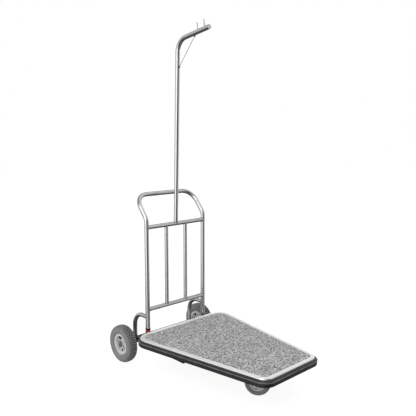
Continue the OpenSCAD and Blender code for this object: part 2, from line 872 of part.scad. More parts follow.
module fork_leg(s) {
    x = s * (fork_gap + fork_t) / 2 - fork_t / 2;
    translate([x, 0, 0]) rotate([90, 0, 90]) linear_extrude(fork_t) hull() {
        translate([caster_trail, caster_r]) circle(15, $fn = 32);
        translate([-24, crown_bottom]) square([48, crown_t]);
    }
}

module caster_fork() {
    color("silver") on_fork() difference() {
        union() {
            translate([0, 0, crown_bottom]) cylinder(r = crown_r, h = crown_t);
            translate([0, 0, crown_top]) cylinder(r = race_r + 6, h = ball_z - crown_top - 0.8);
            for (s = [-1, 1]) fork_leg(s);
        }
        translate([0, 0, crown_bottom - 1]) cylinder(d = king_d + 2 * run_fit, h = 20);
        ball_groove(side_gap);
        translate([0, caster_trail, caster_r]) across_x(fork_gap + 20, pin_axle_d);
    }
}

module on_caster_axle() { on_fork() translate([0, caster_trail, caster_r]) children(); }

module caster_axle() {
    half = fork_gap / 2 + fork_t;
    color("silver") on_caster_axle() {
        translate([-half, 0, 0]) rotate([0, 90, 0]) cylinder(d = pin_axle_d, h = 2 * half + 10);
        translate([-half - 6, 0, 0]) rotate([0, 90, 0]) cylinder(d = 18, h = 6, $fn = 6);
    }
}

module caster_axle_nut() {
    color("silver") on_caster_axle() translate([fork_gap / 2 + fork_t, 0, 0]) rotate([0, 90, 0])
        difference() {
            cylinder(d = 18, h = 8, $fn = 6);
            translate([0, 0, -1]) cylinder(d = pin_axle_d, h = 10);
        }
}

module caster_spacers() {
    len = (fork_gap - caster_hub_w) / 2 - side_gap;
    color("silver") on_caster_axle() for (s = [0, 1]) mirror([s, 0, 0])
        translate([fork_gap / 2 - len, 0, 0]) rotate([0, 90, 0]) difference() {
            cylinder(d = pin_axle_d + 6, h = len);
            translate([0, 0, -1]) cylinder(d = pin_axle_d, h = len + 2);
        }
}

// Frame of the caster's wheel: origin at its centre, +Z along its axle
module on_caster_wheel() { on_caster_axle() rotate([0, 90, 0]) children(); }

module caster_bearings() {
    color("silver") on_caster_wheel() for (s = [0, 1]) mirror([0, 0, s])
        translate([0, 0, caster_hub_w / 2 - caster_bearing_w]) difference() {
            cylinder(d = caster_bearing_d, h = caster_bearing_w);
            translate([0, 0, -1]) cylinder(d = pin_axle_d + 2 * run_fit, h = caster_bearing_w + 2);
        }
}

module caster_rim() {
    web = 5;
    shoulder = caster_hub_w / 2 - caster_bearing_w;
    color("gainsboro") on_caster_wheel() difference() {
        rotate_extrude() union() {
            translate([caster_rim_r - 4, -caster_rim_half]) square([4, 2 * caster_rim_half]);
            translate([caster_hub_r - 1, -web]) square([caster_rim_r - caster_hub_r - 2, 2 * web]);
            translate([caster_bearing_d / 2, -caster_hub_w / 2])
                square([caster_hub_r - caster_bearing_d / 2, caster_hub_w]);
            translate([pin_axle_d / 2 + 3, -shoulder])
                square([(caster_bearing_d - pin_axle_d) / 2 - 2, 2 * shoulder]);
        }
        for (i = [0 : 5]) rotate(60 * i) translate([0, 0, -web - 1])
            rotate_extrude(angle = 36) translate([caster_hub_r + 3, 0])
                square([caster_rim_r - caster_hub_r - 10, 2 * web + 2]);
    }
}

module caster_tyre() {
    mid = (caster_rim_r + caster_r) / 2;
    b = (caster_r - caster_rim_r) / 2;
    color("darkgray") on_caster_wheel() rotate_extrude($fn = 96) polygon(concat(
        [[caster_rim_r, caster_rim_half]],
        rounded(mid, b, caster_w / 2),
        [[caster_rim_r, -caster_rim_half]]
    ));
}

handle_frame();
upper_crossbar();
lower_crossbar();
ladder_bar_left();
ladder_bar_right();
garment_pole();
pole_end_plug();
hanger_pins();
stay_rod();
stay_anchors();
axle_bracket_left();
axle_bracket_right();
foot_band();
foot_band_rings();
rear_cross_tube();
chassis_rail_left();
chassis_rail_right();
rear_cross_member();
middle_cross_member();
front_cross_member();
deck_frame();
deck_board();
carpet();
deck_trim();
bumper();
deck_screws();
axle_beam();
beam_plugs();
rear_axle();
axle_spacers();
axle_washers();
axle_nuts();
rear_tyre_left();
inner_tube_left();
rim_outer_left();
rim_inner_left();
rim_bolts_left();
wheel_bearings_left();
valve_left();
rear_tyre_right();
inner_tube_right();
rim_outer_right();
rim_inner_right();
rim_bolts_right();
wheel_bearings_right();
valve_right();
caster_mount_plate();
caster_top_plate();
caster_plate_bolts();
swivel_race();
swivel_balls();
kingpin();
caster_fork();
kingpin_nut();
caster_axle();
caster_axle_nut();
caster_spacers();
caster_bearings();
caster_rim();
caster_tyre();
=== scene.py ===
import math

import bmesh
import bpy
from mathutils import Matrix, Vector, noise


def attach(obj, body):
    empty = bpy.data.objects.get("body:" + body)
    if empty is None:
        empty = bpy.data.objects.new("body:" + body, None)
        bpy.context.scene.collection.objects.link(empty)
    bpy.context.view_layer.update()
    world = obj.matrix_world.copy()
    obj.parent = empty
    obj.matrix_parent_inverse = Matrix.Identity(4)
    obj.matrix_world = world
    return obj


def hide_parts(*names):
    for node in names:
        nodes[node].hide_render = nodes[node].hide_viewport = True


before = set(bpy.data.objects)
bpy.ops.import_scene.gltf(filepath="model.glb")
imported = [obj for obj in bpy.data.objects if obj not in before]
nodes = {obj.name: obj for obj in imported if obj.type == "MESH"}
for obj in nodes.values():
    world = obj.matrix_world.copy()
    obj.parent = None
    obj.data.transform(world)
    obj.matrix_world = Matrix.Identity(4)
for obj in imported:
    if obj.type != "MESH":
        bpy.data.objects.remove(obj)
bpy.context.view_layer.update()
print("stage: CAD frame loaded,", len(nodes), "nodes")

# Camera: metres and degrees, yaw from +Y towards +X, pitch below the horizon
view = {
    "position": (-1.9244, -2.0084, 1.2923),
    "yaw": 43.02,
    "pitch": 8.17,
    "roll": 0.115,
    "lens": 46.84,
    "sensor": 36.0,
}


def makeCamera():
    data = bpy.data.cameras.new("studioCamera")
    data.lens = view["lens"]
    data.sensor_width = view["sensor"]
    data.sensor_fit = "HORIZONTAL"
    data.clip_end = 60
    camera = bpy.data.objects.new("studioCamera", data)
    bpy.context.scene.collection.objects.link(camera)
    yaw, pitch, roll = (math.radians(view[k]) for k in ("yaw", "pitch", "roll"))
    turn = (
        Matrix.Rotation(-yaw, 4, "Z")
        @ Matrix.Rotation(math.pi / 2 - pitch, 4, "X")
        @ Matrix.Rotation(roll, 4, "Z")
    )
    camera.matrix_world = Matrix.Translation(view["position"]) @ turn
    bpy.context.scene.camera = camera


makeCamera()
print("stage: camera")

# Places on the cart that several pieces share, in metres
cart = {
    "wheelSide": 0.287,
    "axleY": 0.44175,
    "wheelRadius": 0.105,
    "uprightX": 0.205,
    "uprightY": 0.31975,
    "ladderX": 0.069,
    "upperBarZ": 0.772,
    "lowerBarZ": 0.313,
    "bracketZ": 0.270,
    "uprightRadius": 0.0127,
    "barRadius": 0.012,
    "ladderRadius": 0.011,
    "bracketRadius": 0.0125,
}


def linearColour(code):
    parts = [int(code[i : i + 2], 16) / 255 for i in (1, 3, 5)]
    return tuple(c / 12.92 if c <= 0.04045 else ((c + 0.055) / 1.055) ** 2.4 for c in parts) + (1.0,)


def addNode(tree, kind, sockets=None, stops=None, **settings):
    node = tree.nodes.new(kind)
    for name, value in settings.items():
        setattr(node, name, value)
    for name, value in (sockets or {}).items():
        if isinstance(value, bpy.types.NodeSocket):
            tree.links.new(value, node.inputs[name])
        else:
            node.inputs[name].default_value = value
    for i, (place, value) in enumerate(stops or []):
        colours = node.color_ramp.elements
        stop = colours[i] if i < 2 else colours.new(place)
        stop.position = place
        stop.color = linearColour(value) if isinstance(value, str) else (value, value, value, 1)
    return node


def newMaterial(name):
    material = bpy.data.materials.new(name)
    material.use_nodes = True
    tree = material.node_tree
    shader = tree.nodes["Principled BSDF"]
    place = addNode(tree, "ShaderNodeTexCoord").outputs["Object"]
    return material, tree, shader, place


def perMillimetre(size):
    return 1000 / size


def addNoise(tree, place, size, detail):
    return addNode(
        tree, "ShaderNodeTexNoise", {"Vector": place, "Scale": perMillimetre(size), "Detail": detail}
    )


# Austenitic stainless tube, ground and satin polished along its length: soft bright reflections,
# fine grain lines, and handling marks that vary the gloss
def satinStainless(name, along, tint="#BDBEBF", shade="#A2A3A5", smooth=0.14):
    material, tree, shader, place = newMaterial(name)
    fine, long = perMillimetre(0.9), perMillimetre(45)
    scale = [fine, fine, fine]
    scale["xyz".index(along)] = long
    stretched = addNode(tree, "ShaderNodeMapping", {"Vector": place, "Scale": scale})
    grain = addNode(tree, "ShaderNodeTexNoise", {"Vector": stretched.outputs[0], "Scale": 1.0, "Detail": 3})
    smudge = addNoise(tree, place, 60, 2)
    marks = addNode(
        tree, "ShaderNodeMath", {0: grain.outputs["Fac"], 1: smudge.outputs["Fac"]}, operation="MULTIPLY"
    )
    rough = addNode(
        tree,
        "ShaderNodeMapRange",
        {
            "Value": marks.outputs[0],
            "From Min": 0.1,
            "From Max": 0.45,
            "To Min": smooth,
            "To Max": smooth + 0.14,
        },
    )
    tone = addNode(
        tree,
        "ShaderNodeValToRGB",
        {"Fac": grain.outputs["Fac"]},
        stops=[(0.3, shade), (0.7, tint)],
    )
    bump = addNode(
        tree, "ShaderNodeBump", {"Height": grain.outputs["Fac"], "Strength": 0.08, "Distance": 0.0002}
    )
    shader.inputs["Metallic"].default_value = 1.0
    tree.links.new(tone.outputs["Color"], shader.inputs["Base Color"])
    tree.links.new(rough.outputs[0], shader.inputs["Roughness"])
    tree.links.new(bump.outputs["Normal"], shader.inputs["Normal"])
    return material


# One recipe for the plain finishes: a base tone, a slow variation in it, and a fine surface grain
def plainFinish(name, light, dark, grainSize, patchSize, rough, spread=0.1, relief=0.1, metal=0.0, coat=0.0):
    material, tree, shader, place = newMaterial(name)
    patches = addNoise(tree, place, patchSize, 4)
    grain = addNoise(tree, place, grainSize, 2)
    tone = addNode(
        tree, "ShaderNodeValToRGB", {"Fac": patches.outputs["Fac"]}, stops=[(0.3, dark), (0.7, light)]
    )
    gloss = addNode(
        tree,
        "ShaderNodeMapRange",
        {
            "Value": patches.outputs["Fac"],
            "From Min": 0.3,
            "From Max": 0.7,
            "To Min": rough,
            "To Max": rough + spread,
        },
    )
    bump = addNode(
        tree, "ShaderNodeBump", {"Height": grain.outputs["Fac"], "Strength": relief, "Distance": 0.0005}
    )
    shader.inputs["Metallic"].default_value = metal
    shader.inputs["Coat Weight"].default_value = coat
    tree.links.new(tone.outputs["Color"], shader.inputs["Base Color"])
    tree.links.new(gloss.outputs[0], shader.inputs["Roughness"])
    tree.links.new(bump.outputs["Normal"], shader.inputs["Normal"])
    return material


uprightSteel = satinStainless("satinStainlessUpright", "z")
crossSteel = satinStainless("satinStainlessCrosswise", "x")
rodSteel = satinStainless("drawnStainlessRod", "z", tint="#8E8F91", shade="#77787A", smooth=0.16)
trimAluminium = satinStainless("brushedTrimSheet", "y", tint="#F4F4F5", shade="#E6E6E8", smooth=0.3)

blackSteel = plainFinish("blackPowderCoat", "#1B1B1D", "#121214", 0.7, 60, 0.42, relief=0.25)
greyRubber = plainFinish("greyMouldedTyreRubber", "#8F8F90", "#7D7D7E", 0.8, 30, 0.6, spread=0.16, relief=0.3)
# Darker grey rubber for the tread between the blocks
grooveRubber = plainFinish("darkerTreadGroove", "#4B4A49", "#383736", 0.9, 14, 0.85, relief=0.4)
blackRubber = plainFinish("blackButylRubber", "#19191A", "#101011", 0.6, 25, 0.5, relief=0.2)
zincPlate = plainFinish(
    "zincPlatedSteel", "#B7B8B8", "#8F9192", 0.6, 12, 0.28, spread=0.18, relief=0.08, metal=1.0
)
bearingSteel = plainFinish("groundBearingSteel", "#BFC0C2", "#A3A4A6", 0.4, 15, 0.15, metal=1.0, relief=0.04)
rivetSteel = plainFinish("oxidisedRivetSteel", "#6C6D6F", "#4B4C4E", 0.5, 8, 0.38, metal=1.0)
castHub = plainFinish("paintedCastHub", "#E6E6E7", "#D6D6D8", 0.9, 20, 0.3, relief=0.15, coat=0.3)
sealRubber = plainFinish("blackBearingSeal", "#161617", "#0E0E0F", 0.5, 8, 0.4, relief=0.1)
weldSteel = plainFinish(
    "groundTubeWeld", "#8C8D8F", "#626366", 0.8, 5, 0.3, spread=0.2, relief=0.3, metal=1.0
)
blackPlastic = plainFinish("blackMouldedPlastic", "#1A1A1B", "#111112", 0.5, 20, 0.45, relief=0.15)
redTape = plainFinish("redVinylTape", "#B5321F", "#9C2416", 0.5, 12, 0.3, relief=0.05)
print("stage: plain finishes")


# Birch plywood, rotary cut: pale veneer with drawn-out grain along the platform
def plywoodFinish():
    material, tree, shader, place = newMaterial("birchPlywood")
    scale = (perMillimetre(6), perMillimetre(120), perMillimetre(1.6))
    stretched = addNode(tree, "ShaderNodeMapping", {"Vector": place, "Scale": scale})
    grain = addNode(
        tree,
        "ShaderNodeTexNoise",
        {"Vector": stretched.outputs[0], "Scale": 1.0, "Detail": 6, "Distortion": 0.6},
    )
    tone = addNode(
        tree,
        "ShaderNodeValToRGB",
        {"Fac": grain.outputs["Fac"]},
        stops=[(0.25, "#7E6548"), (0.75, "#B39A78"), (0.5, "#9A8160")],
    )
    bump = addNode(
        tree, "ShaderNodeBump", {"Height": grain.outputs["Fac"], "Strength": 0.2, "Distance": 0.0004}
    )
    shader.inputs["Roughness"].default_value = 0.62
    tree.links.new(tone.outputs["Color"], shader.inputs["Base Color"])
    tree.links.new(bump.outputs["Normal"], shader.inputs["Normal"])
    return material


# Heather needle-felt carpet: light and dark grey fibres in tufts of about 5 mm, matt with a soft sheen
def carpetFinish():
    material, tree, shader, place = newMaterial("heatherGreyCarpet")
    tufts = addNode(
        tree, "ShaderNodeTexVoronoi", {"Vector": place, "Scale": perMillimetre(5.0)}, feature="F1"
    )
    fleck = addNode(
        tree,
        "ShaderNodeTexNoise",
        {"Vector": place, "Scale": perMillimetre(5.5), "Detail": 3, "Roughness": 0.7},
    )
    shade = addNode(tree, "ShaderNodeSeparateColor", {"Color": tufts.outputs["Color"]})
    blend = addNode(
        tree,
        "ShaderNodeMix",
        {"Factor": 0.5, "A": shade.outputs[0], "B": fleck.outputs["Fac"]},
    )
    tone = addNode(
        tree,
        "ShaderNodeValToRGB",
        {"Fac": blend.outputs[0]},
        stops=[(0.25, "#444445"), (0.75, "#DEDEDE"), (0.42, "#7E7E7F"), (0.58, "#AEAEAF")],
    )
    bump = addNode(
        tree,
        "ShaderNodeBump",
        {"Height": tufts.outputs["Distance"], "Strength": 0.6, "Distance": 0.0015},
        invert=True,
    )
    shader.inputs["Roughness"].default_value = 0.95
    shader.inputs["Sheen Weight"].default_value = 0.25
    tree.links.new(tone.outputs["Color"], shader.inputs["Base Color"])
    tree.links.new(bump.outputs["Normal"], shader.inputs["Normal"])
    return material


# Light grey enamel on pressed rims, with painted shade on the windows' cut edges: near black there, for the
# shadowed hollow behind the windows.
# Those edges lie within the disc's thickness, so the enamel colour starts at the disc's faces.
rimDisc = {"paintedShadeTo": 0.0064, "paintFrom": 0.0069}


def rimFinish():
    material, tree, shader, place = newMaterial("greyRimEnamel")
    patches = addNoise(tree, place, 30, 4)
    paint = addNode(
        tree,
        "ShaderNodeValToRGB",
        {"Fac": patches.outputs["Fac"]},
        stops=[(0.3, "#D9D9DA"), (0.7, "#E9E9EA")],
    )
    x = addNode(tree, "ShaderNodeSeparateXYZ", {0: place}).outputs["X"]
    side = addNode(tree, "ShaderNodeMath", {0: x}, operation="ABSOLUTE")
    off = addNode(tree, "ShaderNodeMath", {0: side.outputs[0], 1: cart["wheelSide"]}, operation="SUBTRACT")
    depth = addNode(tree, "ShaderNodeMath", {0: off.outputs[0]}, operation="ABSOLUTE")
    outer = addNode(
        tree,
        "ShaderNodeMapRange",
        {"Value": depth.outputs[0], "From Min": rimDisc["paintedShadeTo"], "From Max": rimDisc["paintFrom"]},
    )
    # Painted shade: near black inside the disc's thickness, grey enamel at its faces
    tone = addNode(
        tree,
        "ShaderNodeMix",
        {"Factor": outer.outputs[0], "A": linearColour("#1C1C1D"), "B": paint.outputs["Color"]},
        data_type="RGBA",
    )
    bump = addNode(
        tree, "ShaderNodeBump", {"Height": patches.outputs["Fac"], "Strength": 0.06, "Distance": 0.0005}
    )
    shader.inputs["Roughness"].default_value = 0.3
    shader.inputs["Coat Weight"].default_value = 0.4
    tree.links.new(tone.outputs[2], shader.inputs["Base Color"])
    tree.links.new(bump.outputs["Normal"], shader.inputs["Normal"])
    return material


# Extruded EPDM bumper: semi-matt black, with a painted highlight along its raised ridge: a lighter grey band
# there, which is also glossier
ridge = {"height": 0.1803, "highlightTo": 0.0012, "fadesBy": 0.0032}


def bumperFinish():
    material, tree, shader, place = newMaterial("extrudedBumperRubber")
    patches = addNoise(tree, place, 35, 4)
    body = addNode(
        tree,
        "ShaderNodeValToRGB",
        {"Fac": patches.outputs["Fac"]},
        stops=[(0.3, "#131314"), (0.7, "#1F1F20")],
    )
    z = addNode(tree, "ShaderNodeSeparateXYZ", {0: place}).outputs["Z"]
    off = addNode(tree, "ShaderNodeMath", {0: z, 1: ridge["height"]}, operation="SUBTRACT")
    away = addNode(tree, "ShaderNodeMath", {0: off.outputs[0]}, operation="ABSOLUTE")
    near = addNode(
        tree,
        "ShaderNodeMapRange",
        {
            "Value": away.outputs[0],
            "From Min": ridge["highlightTo"],
            "From Max": ridge["fadesBy"],
            "To Min": 1.0,
            "To Max": 0.0,
        },
    )
    # Painted highlight: light grey mixed into the black near the ridge's height, patchy along its length
    ridgeHighlight = addNode(
        tree, "ShaderNodeMath", {0: near.outputs[0], 1: patches.outputs["Fac"]}, operation="MULTIPLY"
    )
    tone = addNode(
        tree,
        "ShaderNodeMix",
        {"Factor": ridgeHighlight.outputs[0], "A": body.outputs["Color"], "B": linearColour("#9C9C9E")},
        data_type="RGBA",
    )
    gloss = addNode(tree, "ShaderNodeMapRange", {"Value": near.outputs[0], "To Min": 0.42, "To Max": 0.22})
    grain = addNoise(tree, place, 0.6, 2)
    bump = addNode(
        tree, "ShaderNodeBump", {"Height": grain.outputs["Fac"], "Strength": 0.1, "Distance": 0.0004}
    )
    tree.links.new(tone.outputs[2], shader.inputs["Base Color"])
    tree.links.new(gloss.outputs[0], shader.inputs["Roughness"])
    tree.links.new(bump.outputs["Normal"], shader.inputs["Normal"])
    return material


rimPaint = rimFinish()
bumperRubber = bumperFinish()
plywood = plywoodFinish()
heatherCarpet = carpetFinish()

finishOf = {
    uprightSteel: "handle_frame ladder_bar_left ladder_bar_right garment_pole"
    " axle_bracket_left axle_bracket_right",
    rodSteel: "hanger_pins stay_rod",
    crossSteel: "upper_crossbar lower_crossbar pole_end_plug",
    rivetSteel: "stay_anchors",
    redTape: "foot_band",
    blackRubber: "foot_band_rings inner_tube_left inner_tube_right valve_left valve_right",
    blackSteel: "rear_cross_tube chassis_rail_left chassis_rail_right rear_cross_member"
    " middle_cross_member front_cross_member deck_frame axle_beam caster_mount_plate",
    plywood: "deck_board",
    bumperRubber: "bumper",
    zincPlate: "deck_screws rear_axle axle_spacers axle_washers axle_nuts rim_bolts_left rim_bolts_right"
    " caster_top_plate caster_plate_bolts swivel_race kingpin caster_fork kingpin_nut caster_axle"
    " caster_axle_nut caster_spacers",
    bearingSteel: "swivel_balls",
    sealRubber: "wheel_bearings_left wheel_bearings_right caster_bearings",
    blackPlastic: "beam_plugs",
    rimPaint: "rim_outer_left rim_outer_right rim_inner_left rim_inner_right",
    castHub: "caster_rim",
}
for finish, names in finishOf.items():
    for name in names.split():
        slots = nodes[name].data.materials
        slots.clear()
        slots.append(finish)
print("stage: CAD nodes finished")


def addPiece(name, bm, finish, slotName, body, *replaced, sharp=35, turn=True):
    if turn:
        bmesh.ops.recalc_face_normals(bm, faces=bm.faces[:])
    mesh = bpy.data.meshes.new(name)
    bm.to_mesh(mesh)
    bm.free()
    mesh.shade_smooth()
    mesh.set_sharp_from_angle(angle=math.radians(sharp))
    mesh.materials.append(finish)
    piece = bpy.data.objects.new(name, mesh)
    bpy.context.scene.collection.objects.link(piece)
    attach(piece, body)
    if replaced:
        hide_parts(*replaced)
    return piece


# Platform in plan, in metres: a tapered shape with four rounded corners
platform = {
    "rearY": 0.28575,
    "length": 0.818,
    "rearWidth": 0.661,
    "frontWidth": 0.382,
    "rearRadius": 0.075,
    "frontRadius": 0.048,
    "top": 0.1967,
}


# A flat face in the platform's shape, drawn in from its edge by inset
def addPlatformFace(bm, inset, height, corner=10):
    frontY = platform["rearY"] - platform["length"]
    taper = math.atan2((platform["rearWidth"] - platform["frontWidth"]) / 2, platform["length"])
    ends = (
        ("frontRadius", frontY + inset, math.pi / 2 + taper),
        ("rearRadius", platform["rearY"] - inset, math.pi / 2 - taper),
    )
    halves = [
        platform["frontWidth"] / 2 + (y - frontY) * math.tan(taper) - inset / math.cos(taper)
        for _, y, _ in ends
    ]
    points = [(side * halves[i], ends[i][1]) for i, side in ((0, -1), (0, 1), (1, 1), (1, -1))]
    verts = [bm.verts.new((x, y, height)) for x, y in points]
    bm.faces.new(verts)
    for (radius, _, inner), pair in zip(ends, (verts[:2], verts[2:])):
        bmesh.ops.bevel(
            bm,
            geom=pair,
            offset=(platform[radius] - inset) / math.tan(inner / 2),
            offset_type="OFFSET",
            segments=corner,
            profile=0.5,
            affect="VERTICES",
            material=-1,
        )
    return bm.faces[:]


# Pressed aluminium edging: an outer lip, a rolled edge, a flat flange and a turned-down inner edge. Each
# step of the flange goes across and up; a round bead runs along the rear edge between the corners.
trim = {
    "lip": 0.0070,
    "metal": 0.0012,
    "flange": [
        (0.0003, 0.0011),
        (0.0008, 0.0009),
        (0.0014, 0.0004),
        (0.0168, 0.0),
        (0.0012, -0.0003),
        (0.0008, -0.0008),
    ],
    "beadRadius": 0.002,
    "beadInset": 0.003,
    "beadEnd": 0.0890,
}


def makeTrim():
    bm = bmesh.new()
    rise = sum(up for _, up in trim["flange"][:3])
    face = addPlatformFace(bm, 0, platform["top"] - trim["lip"])
    walls = bmesh.ops.extrude_face_region(bm, geom=face)["geom"]
    bmesh.ops.translate(
        bm, verts=[v for v in walls if isinstance(v, bmesh.types.BMVert)], vec=(0, 0, trim["lip"] - rise)
    )
    bmesh.ops.delete(bm, geom=face, context="FACES_ONLY")
    middle = [f for f in walls if isinstance(f, bmesh.types.BMFace)]
    for across, up in trim["flange"]:
        bmesh.ops.inset_region(bm, faces=middle, thickness=across, depth=up, use_even_offset=True)
    bmesh.ops.delete(bm, geom=middle, context="FACES_ONLY")
    bmesh.ops.recalc_face_normals(bm, faces=bm.faces[:])
    bmesh.ops.solidify(bm, geom=bm.faces[:], thickness=trim["metal"])
    bmesh.ops.create_cone(
        bm,
        cap_ends=True,
        segments=20,
        radius1=trim["beadRadius"],
        radius2=trim["beadRadius"],
        depth=platform["rearWidth"] - 2 * trim["beadEnd"],
        matrix=Matrix.Translation((0, platform["rearY"] - trim["beadInset"], platform["top"]))
        @ Matrix.Rotation(math.pi / 2, 4, "Y"),
    )
    addPiece("deckEdging", bm, trimAluminium, "trim_metal", "cart_frame", "deck_trim", turn=False)


makeTrim()
print("stage: trim")

# Needle-felt carpet: the cut sheet runs on under the trim, and its pile stands up inside it
carpet = {
    "cutInset": 0.0024,
    "pileInset": 0.0226,
    "backingTop": 0.1945,
    "pile": 0.0026,
    "cell": 0.0031,
    "tuft": 0.0007,
    "tuftSize": 0.0034,
    "fineShare": 0.6,
    "fineRatio": 2.3,
    "edgeRise": 0.0016,
    "longSide": 0.1,
    "cornerReach": 0.2,
}


def makeCarpet():
    outline = bmesh.new()
    ring = addPlatformFace(outline, carpet["cutInset"], 0, corner=8)[0]
    corners = [v.co.copy() for v in ring.verts]
    outline.free()
    sides = []
    for a, b in zip(corners, corners[1:] + corners[:1]):
        along = (b - a).normalized()
        sides.append((a, Vector((along.y, -along.x, 0)), (b - a).length))
    low = Vector(min(c[i] for c in corners) for i in range(3))
    high = Vector(max(c[i] for c in corners) for i in range(3))
    size = high - low
    bm = bmesh.new()
    bmesh.ops.create_grid(
        bm,
        x_segments=round(size.x / carpet["cell"]),
        y_segments=round(size.y / carpet["cell"]),
        size=0.5,
        matrix=Matrix.Translation((low + high) / 2) @ Matrix.Diagonal((size.x, size.y, 1, 1)),
    )
    for a, outward, length in sorted(sides, key=lambda side: -side[2]):
        if length > carpet["longSide"]:
            cut = bm.verts[:] + bm.edges[:] + bm.faces[:]
        else:
            reach = carpet["cornerReach"]
            close = {f for f in bm.faces if (f.calc_center_median() - a).length < reach}
            cut = list(close)
            cut += list({e for f in close for e in f.edges})
            cut += list({v for f in close for v in f.verts})
        bmesh.ops.bisect_plane(bm, geom=cut, plane_co=a, plane_no=outward, dist=1e-7, clear_outer=True)
    area = sum(f.calc_area() for f in bm.faces)
    rise = carpet["pileInset"] - carpet["cutInset"]
    for v in bm.verts:
        inside = min((a - v.co).dot(outward) for a, outward, _ in sides)
        share = max(0.0, min(1.0, (inside - rise) / carpet["edgeRise"]))
        spot = v.co / carpet["tuftSize"]
        tuft = noise.noise(spot) + carpet["fineShare"] * noise.noise(spot * carpet["fineRatio"])
        v.co.z = carpet["backingTop"] + share * (carpet["pile"] + carpet["tuft"] * tuft)
    piece = addPiece(
        "carpetSheet", bm, heatherCarpet, "carpet_pile", "cart_frame", "carpet", sharp=180, turn=False
    )
    print("carpet cut", round(size.x, 4), round(size.y, 4), "area", round(area, 4))


makeCarpet()
print("stage: carpet")

# Tyres, in metres: the section's size, the rim's seat, and rows of tread blocks. Each row gives its
# place round the section in degrees, the blocks' length and width, and their turn across the tread.
rearTyre = {
    "radius": 0.105,
    "halfWidth": 0.031,
    "seat": 0.051,
    "lip": 0.0594,
    "lipHalf": 0.0215,
    "beadHalf": 0.0185,
    "tread": 0.0024,
    "pitches": 46,
    "rows": [
        (90, 0.0092, 0.0085, 0),
        (74, 0.0096, 0.0090, 22),
        (54, 0.0088, 0.0108, -14),
        (36, 0.0070, 0.0088, 0),
    ],
}
casterTyre = {
    "radius": 0.065,
    "halfWidth": 0.017,
    "seat": 0.039,
    "lip": 0.0394,
    "lipHalf": 0.0143,
    "beadHalf": 0.0140,
    "tread": 0.0016,
    "pitches": 40,
    "rows": [(90, 0.0062, 0.0052, 0), (66, 0.0064, 0.0058, 18), (40, 0.0052, 0.0056, 0)],
    "centre": (-0.028214, -0.337417, 0.065),
    "axis": (0.809017, 0.587785, 0),
}


# What both tyres share: how square the section is, its inset at the sides, the height of the
# sidewalls' fine rings, how far blocks stay under the full radius, and how their tops draw in
tyreForm = {
    "square": 0.77,
    "sideInset": 0.0012,
    "ring": 0.0007,
    "under": 0.0003,
    "topLong": 0.78,
    "topWide": 0.82,
}


# Point of the rounded section at an angle, 90 degrees being the crown
def sectionPoint(tyre, degrees, proud=0.0):
    middle = (tyre["seat"] + tyre["radius"]) / 2
    height = (tyre["radius"] - tyre["seat"]) / 2 - tyre["tread"]
    s, c = math.sin(math.radians(degrees)), math.cos(math.radians(degrees))
    out = math.copysign(abs(s) ** tyreForm["square"], s) * (height + proud)
    flat = tyre["halfWidth"] - tyreForm["sideInset"]
    side = math.copysign(abs(c) ** tyreForm["square"], c) * (flat + proud)
    return Vector((middle + out, 0, side))


def makeTyre(name, tyre, centre, axis, body, node):
    bm = bmesh.new()
    profile = [
        (tyre["seat"], tyre["beadHalf"]),
        (tyre["lip"], tyre["beadHalf"]),
        (tyre["lip"], tyre["lipHalf"]),
    ]
    verts = [bm.verts.new((r, 0, z)) for r, z in profile]
    for degrees in range(-30, 211, 5):
        flank = min(abs(degrees - 20), abs(degrees - 160))
        rib = tyreForm["ring"] if flank in (0, 10) else 0.0
        verts.append(bm.verts.new(sectionPoint(tyre, degrees, rib)))
    verts += [bm.verts.new((r, 0, -z)) for r, z in reversed(profile)]
    ring = [bm.edges.new((a, b)) for a, b in zip(verts, verts[1:] + verts[:1])]
    bmesh.ops.spin(
        bm, geom=verts + ring, cent=(0, 0, 0), axis=(0, 0, 1), angle=2 * math.pi, steps=128, use_merge=True
    )
    # Carcass faces across the tread rows take the second, darker grey rubber finish; the blocks keep the
    # lighter one
    edge = sectionPoint(tyre, tyre["rows"][-1][0] + 2)
    for f in bm.faces:
        middle = f.calc_center_median()
        if math.hypot(middle.x, middle.y) > edge.x and abs(middle.z) < edge.z:
            f.material_index = 1
    step = 2 * math.pi / tyre["pitches"]
    for row, (degrees, long, wide, turn) in enumerate(tyre["rows"]):
        for side in (1, -1) if degrees != 90 else (1,):
            place = sectionPoint(tyre, degrees)
            ahead = sectionPoint(tyre, degrees - 2) - place
            tilt = math.atan2(ahead.x, ahead.z)
            block = bmesh.ops.create_cube(bm, size=1)["verts"]
            crown = [v for v in block if v.co.x > 0]
            bmesh.ops.scale(bm, verts=crown, vec=(1, tyreForm["topLong"], tyreForm["topWide"]))
            bmesh.ops.scale(bm, verts=block, vec=(2 * (tyre["tread"] - tyreForm["under"]), long, wide))
            across = Matrix.Rotation(math.radians(turn * side), 3, "X")
            bmesh.ops.rotate(bm, verts=block, cent=(0, 0, 0), matrix=across)
            bmesh.ops.rotate(bm, verts=block, cent=(0, 0, 0), matrix=Matrix.Rotation(tilt, 3, "Y"))
            bmesh.ops.translate(bm, verts=block, vec=place)
            if side < 0:
                bmesh.ops.scale(bm, verts=block, vec=(1, 1, -1))
            stagger = Matrix.Rotation(step * (0.5 * row + 0.25 * side), 3, "Z")
            bmesh.ops.rotate(bm, verts=block, cent=(0, 0, 0), matrix=stagger)
            faces = list({f for v in block for f in v.link_faces})
            edges = list({e for v in block for e in v.link_edges})
            bmesh.ops.spin(
                bm,
                geom=block + edges + faces,
                cent=(0, 0, 0),
                axis=(0, 0, 1),
                angle=2 * math.pi - step,
                steps=tyre["pitches"] - 1,
                use_duplicate=True,
            )
    turn = Vector((0, 0, 1)).rotation_difference(Vector(axis)).to_matrix().to_4x4()
    bmesh.ops.transform(bm, matrix=Matrix.Translation(centre) @ turn, verts=bm.verts[:])
    piece = addPiece(name, bm, greyRubber, "wheel_tyre", body, node, sharp=40)
    piece.data.materials.append(grooveRubber)


